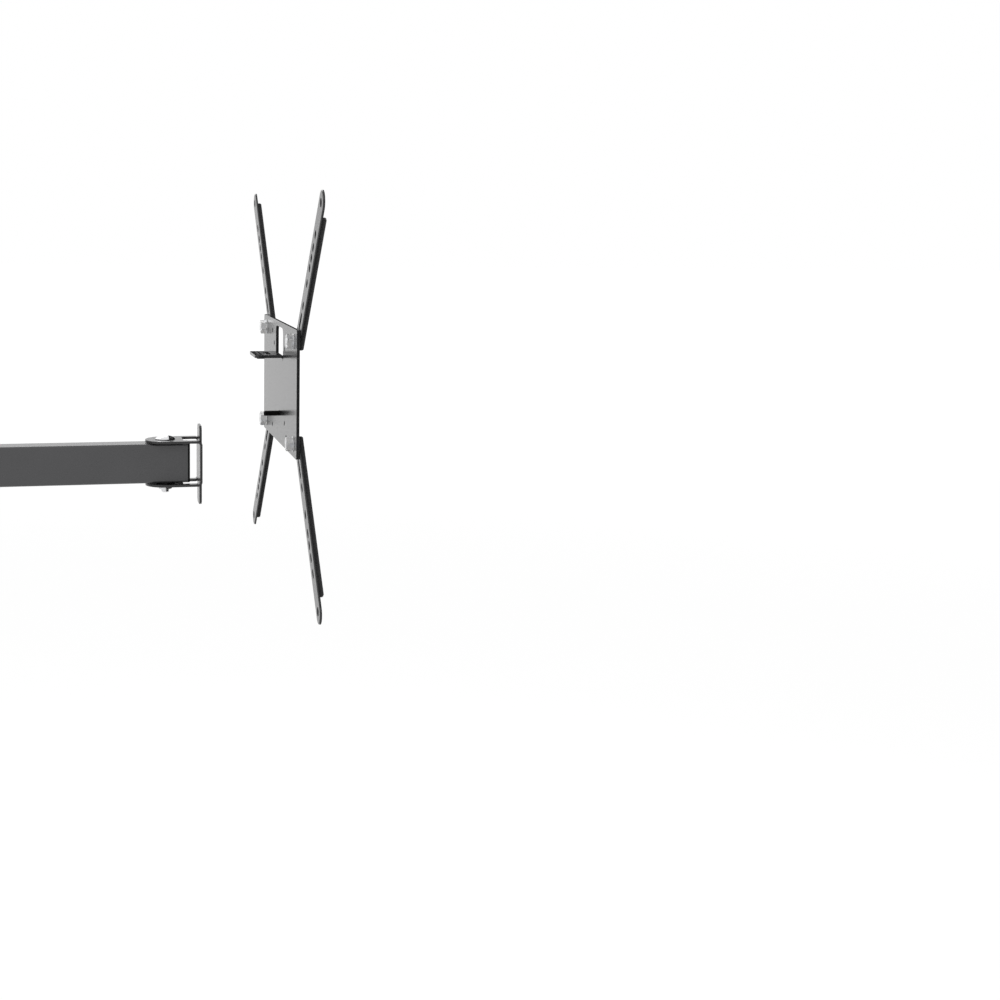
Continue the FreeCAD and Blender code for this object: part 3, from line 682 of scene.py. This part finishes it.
def settle(piece):
    """What the piece's modifiers make becomes its own plain mesh."""
    graph = bpy.context.evaluated_depsgraph_get()
    graph.update()
    made = bpy.data.meshes.new_from_object(piece.evaluated_get(graph), depsgraph=graph)
    made.name = piece.name
    piece.modifiers.clear()
    piece.data = made
    if not len(made.polygons):
        raise RuntimeError(f"{piece.name} has no faces")


def smooth(mesh):
    """Smooth shading up to the sharp edges."""
    mesh.shade_smooth()
    mesh.set_sharp_from_angle(angle=SHARP_ANGLE)


def hand_over(piece, nodes):
    """The piece rides with its nodes' body and stands for them."""
    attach(piece, BODY_OF[nodes[0]])
    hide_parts(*nodes)


def round_edges(piece, radius):
    """The small radius that a finish leaves on every sharp edge, with flat faces kept flat.

    Where two roundings use up the face between them, their points are joined.
    """
    edges = piece.modifiers.new("Edges", "BEVEL")
    edges.width = radius
    edges.segments = 2
    edges.limit_method = "ANGLE"
    edges.angle_limit = SHARP_ANGLE
    edges.use_clamp_overlap = True
    edges.miter_outer = "MITER_ARC"
    joined = piece.modifiers.new("Joined", "WELD")
    joined.merge_threshold = SAME_POINT
    flats = piece.modifiers.new("Flats", "WEIGHTED_NORMAL")
    flats.keep_sharp = True
    flats.weight = 80


def finished_copy(name, node, slot, radius, coat=None):
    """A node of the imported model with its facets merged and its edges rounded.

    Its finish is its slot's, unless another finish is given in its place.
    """
    form = bmesh.new()
    form.from_mesh(NODES[node].data)
    bmesh.ops.remove_doubles(form, verts=form.verts, dist=SAME_POINT)
    bmesh.ops.dissolve_limit(form, angle_limit=SAME_PLANE, verts=form.verts, edges=form.edges)
    piece = new_piece(name, form)
    smooth(piece.data)
    round_edges(piece, radius)
    settle(piece)
    piece.data.materials.append(finish(coat or slot))
    hand_over(piece, [node])


def rings_form(rings, closed=False):
    """A form from rings of points about the Z axis.

    A single point closes an end; a closed form runs from its last ring back to its first.
    """
    form = bmesh.new()
    made = [[form.verts.new(point) for point in points] for points in rings]
    for lower, upper in zip(made, made[1:] + made[:1] if closed else made[1:]):
        count = max(len(lower), len(upper))
        for i in range(count):
            j = (i + 1) % count
            corners = [lower[i % len(lower)], lower[j % len(lower)]]
            corners += [upper[j % len(upper)], upper[i % len(upper)]]
            form.faces.new(list(dict.fromkeys(corners)))
    bmesh.ops.recalc_face_normals(form, faces=form.faces)
    return form


def ring(radius, z, steps):
    """A ring of points; radius may be a number or a function of the angle."""
    angles = [2 * math.pi * i / steps for i in range(steps)]
    reach = radius if callable(radius) else lambda angle: radius
    return [(reach(a) * math.cos(a), reach(a) * math.sin(a), z) for a in angles]


def turned_form(profile, steps=ROUND_STEPS, closed=False):
    """A form turned about the Z axis, from the radii and heights of its profile.

    A radius of nought closes an end.
    """
    rings = [ring(radius, z, steps) if radius else [(0, 0, z)] for radius, z in profile]
    return rings_form(rings, closed)


def hexagon_reach(flats):
    """The reach of a hexagon at each angle."""

    def reach(angle):
        off = (angle + math.pi / 6) % (math.pi / 3) - math.pi / 6
        return flats / 2 / math.cos(off)

    return reach


def hexagon_rings(flats, low, high):
    """The rings of a hexagon's side, its corners cut back at thirty degrees at the high end."""
    face = flats / 2 * HEX_FACE
    side = ring(hexagon_reach(flats), low, HEX_STEPS)
    slope = math.tan(math.radians(30))
    top = [(x, y, high - (math.hypot(x, y) - face) * slope) for x, y, z in side]
    return [side, top, ring(face, high, HEX_STEPS)]


# Operators ------------------------------------------------------------------------------------


class WALLMOUNT_OT_sheet_metal(bpy.types.Operator):
    """Coat the wall plate, the bent brackets, the television plate and the slotted arms, in the coat
    darkened as painted shade
    """

    bl_idname = "wall_mount.sheet_metal"
    bl_label = "Sheet Metal"

    def execute(self, context):
        edge = context.scene.wall_mount_sizes.sheet_edge
        arms = [f"{corner}_slot_arm" for corner in CORNERS]
        for node in (*PLATES, *BRACKETS, *arms):
            finished_copy(f"coated_{node}", node, "black_steel", edge)
        return {"FINISHED"}


class WALLMOUNT_OT_arm_tubes(bpy.types.Operator):
    """Coat the two rectangular arm tubes, in the coat lightened as painted light"""

    bl_idname = "wall_mount.arm_tubes"
    bl_label = "Arm Tubes"

    def execute(self, context):
        edge = context.scene.wall_mount_sizes.tube_edge
        for node in TUBES:
            # The tubes take the lightened copy of the coat: painted light.
            finished_copy(f"coated_{node}", node, "black_steel", edge, coat="black_tube_painted_light")
        return {"FINISHED"}


class WALLMOUNT_OT_mouldings(bpy.types.Operator):
    """Make the end caps, the pivot bushes and the hook's liner"""

    bl_idname = "wall_mount.mouldings"
    bl_label = "Mouldings"

    def execute(self, context):
        edge = context.scene.wall_mount_sizes.moulded_edge
        for node in CAPS:
            finished_copy(f"moulded_{node}", node, "black_plastic", edge)
        bushes = [f"{pivot}_{side}_bush" for pivot in PIVOTS for side in ("upper", "lower")]
        for node in (*bushes, "hook_liner"):
            finished_copy(f"moulded_{node}", node, "nylon", edge)
        return {"FINISHED"}


class WALLMOUNT_OT_welds(bpy.types.Operator):
    """Lay the weld beads that hold the clevis and the elbow bracket"""

    bl_idname = "wall_mount.welds"
    bl_label = "Weld Beads"

    def execute(self, context):
        sunk = 0.18 * context.scene.wall_mount_sizes.bead_width
        seam_share = 0.74
        low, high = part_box("wall_clevis")
        x, reach = low.x + sunk, seam_share * (high.z - low.z) / 2
        seams = [[(x, y, -reach), (x, y, reach)] for y in (low.y, high.y)]
        self.lay("clevis_welds", seams, "wall_clevis", context.scene)
        low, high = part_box("rear_arm_tube")
        seam = self.round_tube(high.x - sunk, low, high)
        self.lay("elbow_weld", [seam], "rear_arm_tube", context.scene, closed=True)
        return {"FINISHED"}

    def round_tube(self, x, low, high):
        """The seam about a tube, which follows its rounded corners."""
        corner, steps = 0.0025, 4
        left, right = low.y + corner, high.y - corner
        bottom, top = low.z + corner, high.z - corner
        points = []
        for quarter, (y, z) in enumerate([(right, top), (left, top), (left, bottom), (right, bottom)]):
            for step in range(steps + 1):
                angle = (quarter + step / steps) * math.pi / 2
                points.append((x, y + corner * math.cos(angle), z + corner * math.sin(angle)))
        return points

    def lay(self, name, seams, node, scene, closed=False):
        """One piece of weld beads along the seams, on the node's body."""
        form = bmesh.new()
        for seam in seams:
            points = [form.verts.new(point) for point in seam]
            for first, second in zip(points, points[1:] + points[:1] if closed else points[1:]):
                form.edges.new((first, second))
        piece = new_piece(name, form)
        grow(
            piece,
            "Weld Bead",
            "black_steel",
            Ripple=scene.wall_mount_sizes.bead_pitch,
            Width=scene.wall_mount_sizes.bead_width,
            Seed=scene.wall_mount_stage.chance_seed,
        )
        settle(piece)
        piece.data.shade_smooth()
        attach(piece, BODY_OF[node])


class WALLMOUNT_OT_pivot_bolts(bpy.types.Operator):
    """Turn the domed pivot bolts with their threaded ends"""

    bl_idname = "wall_mount.pivot_bolts"
    bl_label = "Pivot Bolts"

    def execute(self, context):
        for pivot in PIVOTS:
            self.turn(f"{pivot}_pivot_bolt", f"{pivot}_pivot_nut", context.scene)
        return {"FINISHED"}

    def turn(self, node, nut, scene):
        """A bolt with a rim under its dome, threaded from its tip to just above its nut."""
        shank, core, chamfer = 0.004, 0.00335, 0.0006
        head, rim, rim_inset, rim_rise = 0.0045, 0.0008, 0.0004, 0.0003
        past_nut, lead_in, run_out = 0.006, 0.0008, 0.0002
        low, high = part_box(node)
        tip, top = low.z, high.z
        start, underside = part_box(nut)[1].z + past_nut, top - head
        dome, rise = (high.x - low.x) / 2, head - rim
        sphere = (rise**2 + dome**2) / (2 * rise)
        steps = 14
        angles = [math.asin(dome / sphere) * (1 - i / steps) for i in range(steps)]
        crown = [(sphere * math.sin(a), top - sphere * (1 - math.cos(a))) for a in angles]
        profile = [(0, tip), (core - chamfer, tip), (core, tip + chamfer), (core, start)]
        profile += [(shank, start + chamfer), (shank, underside), (dome - rim_inset, underside)]
        profile += [(dome, underside + rim_rise), *crown, (0, top)]
        piece = new_piece(f"turned_{node}", turned_form(profile))
        grow(
            piece,
            "Screw Thread",
            "chrome",
            Radius=shank,
            Pitch=scene.wall_mount_sizes.pivot_pitch,
            Start=tip + lead_in,
            Length=start - run_out - tip - lead_in,
        )
        centre = Vector(((low.x + high.x) / 2, (low.y + high.y) / 2, 0))
        grow(piece, "Fastener Pattern", "chrome", Rows=1, Columns=1, Centre=centre)
        settle(piece)
        smooth(piece.data)
        hand_over(piece, [node])


class WALLMOUNT_OT_nuts(bpy.types.Operator):
    """Finish the pivot nuts and the tilt screw's weld nut"""

    bl_idname = "wall_mount.nuts"
    bl_label = "Nuts"

    def execute(self, context):
        edge = context.scene.wall_mount_sizes.turned_edge
        for node in [f"{pivot}_pivot_nut" for pivot in PIVOTS] + ["tilt_weld_nut"]:
            finished_copy(f"plated_{node}", node, "zinc", edge)
        return {"FINISHED"}


class WALLMOUNT_OT_clamp_sets(bpy.types.Operator):
    """Set the flat-headed bolts, washers and nuts that clamp the slotted arms"""

    bl_idname = "wall_mount.clamp_sets"
    bl_label = "Clamp Bolts"

    def execute(self, context):
        boxes = {kind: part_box(f"upper_left_clamp_{kind}") for kind in ("bolt", "washer", "nut")}
        self.bolts(boxes["bolt"], boxes["nut"], context.scene)
        self.washers(boxes["washer"], context.scene)
        self.nuts(boxes["nut"], context.scene)
        return {"FINISHED"}

    def set_out(self, piece, x, kind, chance, scene):
        """One copy at each slotted arm's pivot, its own Z axis turned to point at the wall."""
        middles = [sum(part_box(f"{corner}_clamp_{kind}"), Vector()) / 2 for corner in CORNERS]
        centre = sum(middles, Vector()) / len(middles)
        reach = middles[0] - centre
        grow(
            piece,
            "Fastener Pattern",
            "zinc",
            Rows=2,
            Columns=2,
            Rows_Apart=2 * abs(reach.y),
            Columns_Apart=2 * abs(reach.z),
            Centre=Vector((x, centre.y, centre.z)),
            Facing=TO_WALL,
            Chance_Turn=math.radians(chance),
            Seed=scene.wall_mount_stage.chance_seed,
        )
        settle(piece)
        smooth(piece.data)
        hand_over(piece, [f"{corner}_clamp_{kind}" for corner in CORNERS])

    def bolts(self, box, nut, scene):
        """Bolts with a flat round head, threaded from just under the nut to the tip."""
        pitch = scene.wall_mount_sizes.clamp_pitch
        shank, thick, under_nut, tip_room = 0.004, 0.0028, 0.002, 0.0009
        chamfer, shoulder, edge = 0.0006, 0.0004, 0.0002
        low, high = box
        head, core = (high.z - low.z) / 2, shank - pitch * THREAD_DEPTH
        span, threaded = high.x - low.x, high.x - nut[1].x - under_nut
        face = [(0, 0), (head - 0.0008, 0), (head - 0.0002, 0.0006), (head, 0.001)]
        profile = [*face, (head, thick - edge), (head - edge, thick), (shank, thick)]
        profile += [(shank, threaded), (core, threaded + shoulder), (core, span - chamfer)]
        profile += [(core - chamfer, span), (0, span)]
        piece = new_piece("plated_clamp_bolts", turned_form(profile))
        grow(
            piece,
            "Screw Thread",
            "zinc",
            Radius=shank,
            Pitch=pitch,
            Start=threaded,
            Length=span - threaded - tip_room,
        )
        self.set_out(piece, high.x, "bolt", 80, scene)

    def washers(self, box, scene):
        """Plain washers with softened edges."""
        low, high = box
        outer, inner, edge = (high.z - low.z) / 2, 0.0042, 0.0002
        thick = high.x - low.x
        profile = [(inner, 0), (outer - edge, 0), (outer, edge), (outer, thick - edge)]
        profile += [(outer - edge, thick), (inner, thick)]
        piece = new_piece("plated_clamp_washers", turned_form(profile, closed=True))
        self.set_out(piece, high.x, "washer", 60, scene)

    def nuts(self, box, scene):
        """Hexagon nuts with both ends cut back and the bore's edges broken."""
        low, high = box
        flats, bore, edge = 0.013, 0.00405, 0.0005
        thick = high.x - low.x
        upper = hexagon_rings(flats, thick / 2, thick)
        lower = [[(x, y, thick - z) for x, y, z in level] for level in reversed(upper)]
        rings = [ring(bore + edge, 0, HEX_STEPS), *lower[:-1], *upper[1:]]
        rings += [ring(bore + edge, thick, HEX_STEPS), ring(bore, thick - edge, HEX_STEPS)]
        rings += [ring(bore, edge, HEX_STEPS)]
        piece = new_piece("plated_clamp_nuts", rings_form(rings, closed=True))
        self.set_out(piece, high.x, "nut", 30, scene)


class WALLMOUNT_OT_tilt_screw(bpy.types.Operator):
    """Turn the headless tilt screw with its thread and hexagon socket"""

    bl_idname = "wall_mount.tilt_screw"
    bl_label = "Tilt Screw"

    def execute(self, context):
        chamfer, end_inset, lead_in = 0.0006, 0.0004, 0.0007
        socket, mouth, mouth_drop, depth = hexagon_reach(0.003), 0.00195, 0.0003, 0.003
        low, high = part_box("tilt_screw")
        span, radius = high.x - low.x, (high.z - low.z) / 2
        core = radius - 0.00055
        profile = [(0, 0), (core - chamfer, 0), (core, chamfer), (core, span - chamfer)]
        profile += [(core - end_inset, span), (mouth, span), (socket, span - mouth_drop)]
        profile += [(socket, span - depth), (0, span - depth - chamfer)]
        piece = new_piece("turned_tilt_screw", turned_form(profile, HEX_STEPS))
        grow(
            piece,
            "Screw Thread",
            "black_screw",
            Radius=radius,
            Pitch=context.scene.wall_mount_sizes.tilt_pitch,
            Start=lead_in,
            Length=span - 2 * lead_in,
        )
        grow(
            piece,
            "Fastener Pattern",
            "black_screw",
            Rows=1,
            Columns=1,
            Centre=Vector((high.x, 0.0, (low.z + high.z) / 2)),
            Facing=TO_WALL,
        )
        settle(piece)
        smooth(piece.data)
        hand_over(piece, ["tilt_screw"])
        return {"FINISHED"}


class WALLMOUNT_OT_stage(bpy.types.Operator):
    """Set the floor, the soft lamps, the white surroundings, the screen in the gloss and the camera"""

    bl_idname = "wall_mount.stage"
    bl_label = "Stage"

    def execute(self, context):
        stage = context.scene.wall_mount_stage
        self.surroundings(context.scene, stage)
        self.floor(stage)
        self.screen(stage)
        self.lamps(context.scene, stage)
        self.camera(context.scene, stage)
        context.scene.view_settings.view_transform = "Standard"
        return {"FINISHED"}

    def seen_directly(self, tree):
        """One for rays from the camera and rays that metal or glass sends on, nought for others."""
        path = add(tree, "ShaderNodeLightPath").outputs
        seen = math_node(tree, "ADD", path["Is Camera Ray"], path["Is Glossy Ray"], clamp=True)
        return math_node(tree, "ADD", seen, path["Is Transmission Ray"], clamp=True)

    def surface(self, tree, shader, glow_share, strength):
        """A material's surface: the shader, with a share of white glow in its place."""
        glow = add(tree, "ShaderNodeEmission", {"Color": WHITE, "Strength": strength})
        ends = {0: glow_share, 1: shader.outputs[0], 2: glow.outputs[0]}
        both = add(tree, "ShaderNodeMixShader", ends)
        add(tree, "ShaderNodeOutputMaterial", {"Surface": both.outputs[0]})

    def surroundings(self, scene, stage):
        """Even light from all round, plain white wherever it is seen directly."""
        scene.world = bpy.data.worlds.new("studio")
        scene.world.use_nodes = True
        tree = scene.world.node_tree
        tree.nodes.clear()
        strength = spread(tree, self.seen_directly(tree), 0, 1, stage.room_light, 1.0)
        light = add(tree, "ShaderNodeBackground", {"Color": WHITE, "Strength": strength})
        add(tree, "ShaderNodeOutputWorld", {"Surface": light.outputs[0]})

    def floor(self, stage):
        """A pale floor that keeps the shadows and fades to white far out."""
        form = bmesh.new()
        bmesh.ops.create_grid(form, x_segments=1, y_segments=1, size=FLOOR_REACH)
        bmesh.ops.translate(form, verts=form.verts, vec=(0, 0, stage.floor_height))
        floor = new_piece("floor", form)
        made, tree = bare_material("pale_floor")
        place = add(tree, "ShaderNodeTexCoord").outputs["Object"]
        base = mixed(tree, noise(tree, place, 3.0), (0.9, 0.9, 0.9), (0.94, 0.94, 0.94))
        matt = add(tree, "ShaderNodeBsdfDiffuse", {"Color": base})
        middle = (CAD_BOX[0] + CAD_BOX[1]) / 2
        out = add(tree, "ShaderNodeVectorMath", {0: place, 1: middle}, operation="SUBTRACT")
        reach = add(tree, "ShaderNodeVectorMath", {0: out.outputs[0]}, operation="LENGTH")
        glow = spread(tree, reach.outputs["Value"], *FLOOR_FADE, FLOOR_GLOW, 1.0)
        glow = math_node(tree, "MULTIPLY", self.seen_directly(tree), glow)
        self.surface(tree, matt, glow, FLOOR_WHITE)
        floor.data.materials.append(made)

    def screen(self, stage):
        """The dark screen behind the television bracket, which only gloss shows.

        Its far side and what lies close against it don't show it.
        """
        low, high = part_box("tv_plate")
        width, height = stage.screen_width, stage.screen_height
        place = (CAD_BOX[1].x + stage.screen_gap, 0.0, (low.z + high.z) / 2)
        form = bmesh.new()
        bmesh.ops.create_grid(form, x_segments=1, y_segments=1, size=0.5)
        bmesh.ops.scale(form, verts=form.verts, vec=(height, width, 1.0))
        bmesh.ops.rotate(form, verts=form.verts, matrix=Euler(TO_WALL).to_matrix())
        bmesh.ops.translate(form, verts=form.verts, vec=place)
        screen = new_piece("screen", form)
        made, tree = bare_material("screen_in_gloss")
        path = add(tree, "ShaderNodeLightPath").outputs
        shown = math_node(tree, "GREATER_THAN", path["Ray Length"], SCREEN_NEAR)
        shown = math_node(tree, "MULTIPLY", shown, path["Is Glossy Ray"])
        back = add(tree, "ShaderNodeNewGeometry").outputs["Backfacing"]
        shown = math_node(tree, "SUBTRACT", shown, back, clamp=True)
        clear = add(tree, "ShaderNodeBsdfTransparent")
        self.surface(tree, clear, shown, stage.screen_glow)
        screen.data.materials.append(made)

    def lamps(self, scene, stage):
        """Soft boxes: the main one high on the left, one on the right and one behind.

        Each has its place, its size, its share of the main lamp's power and whether gloss shows it.
        """
        aim = (CAD_BOX[0] + CAD_BOX[1]) / 2
        boxes = {
            "main_lamp": ((-1.2, -1.7, 1.9), 1.6, 1.0, True),
            "side_lamp": ((2.3, -0.2, 1.3), 1.4, 0.9, False),
            "back_lamp": ((0.2, 1.9, 1.7), 1.4, 0.7, True),
        }
        for name, (place, size, power, in_gloss) in boxes.items():
            light = bpy.data.lights.new(name, "AREA")
            light.shape = "SQUARE"
            light.size = size
            light.energy = stage.lamp_power * power
            lamp = bpy.data.objects.new(name, light)
            lamp.visible_glossy = in_gloss
            lamp.location = place
            lamp.rotation_euler = (aim - Vector(place)).to_track_quat("-Z", "Y").to_euler()
            scene.collection.objects.link(lamp)

    def camera(self, scene, stage):
        """The camera, turned from +Y by its heading, its dip and its roll."""
        data = bpy.data.cameras.new("camera")
        data.lens = stage.lens
        data.sensor_width = 36.0
        data.shift_x = stage.shift_x
        data.shift_y = stage.shift_y
        camera = bpy.data.objects.new("camera", data)
        turn = Matrix.Rotation(-stage.heading, 4, "Z")
        turn @= Matrix.Rotation(math.pi / 2 - stage.dip, 4, "X")
        turn @= Matrix.Rotation(stage.roll, 4, "Z")
        camera.rotation_euler = turn.to_euler()
        camera.location = stage.camera_place
        scene.collection.objects.link(camera)
        scene.camera = camera


class WALLMOUNT_PT_panel(bpy.types.Panel):
    """The mount's pieces, in the order in which they are made"""

    bl_idname = "WALLMOUNT_PT_panel"
    bl_label = "Wall Mount"
    bl_space_type = "VIEW_3D"
    bl_region_type = "UI"
    bl_category = "Wall Mount"

    def draw(self, context):
        for operator in OPERATORS:
            self.layout.operator(operator.bl_idname)
        for group in ("wall_mount_sizes", "wall_mount_finishes", "wall_mount_stage"):
            box = self.layout.box()
            settings = getattr(context.scene, group)
            for name in settings.__annotations__:
                box.prop(settings, name)


GROUPS = {
    "wall_mount_finishes": WALLMOUNT_PG_finishes,
    "wall_mount_sizes": WALLMOUNT_PG_sizes,
    "wall_mount_stage": WALLMOUNT_PG_stage,
}
OPERATORS = (
    WALLMOUNT_OT_sheet_metal,
    WALLMOUNT_OT_arm_tubes,
    WALLMOUNT_OT_mouldings,
    WALLMOUNT_OT_welds,
    WALLMOUNT_OT_pivot_bolts,
    WALLMOUNT_OT_nuts,
    WALLMOUNT_OT_clamp_sets,
    WALLMOUNT_OT_tilt_screw,
    WALLMOUNT_OT_stage,
)
CLASSES = (*GROUPS.values(), *OPERATORS, WALLMOUNT_PT_panel)


def register():
    for made in CLASSES:
        bpy.utils.register_class(made)
    for name, group in GROUPS.items():
        setattr(bpy.types.Scene, name, PointerProperty(type=group))


def unregister():
    for name in GROUPS:
        delattr(bpy.types.Scene, name)
    for made in reversed(CLASSES):
        bpy.utils.unregister_class(made)


def main():
    register()
    for operator in OPERATORS:
        area, name = operator.bl_idname.split(".")
        getattr(getattr(bpy.ops, area), name)()


if __name__ == "__main__":
    main()
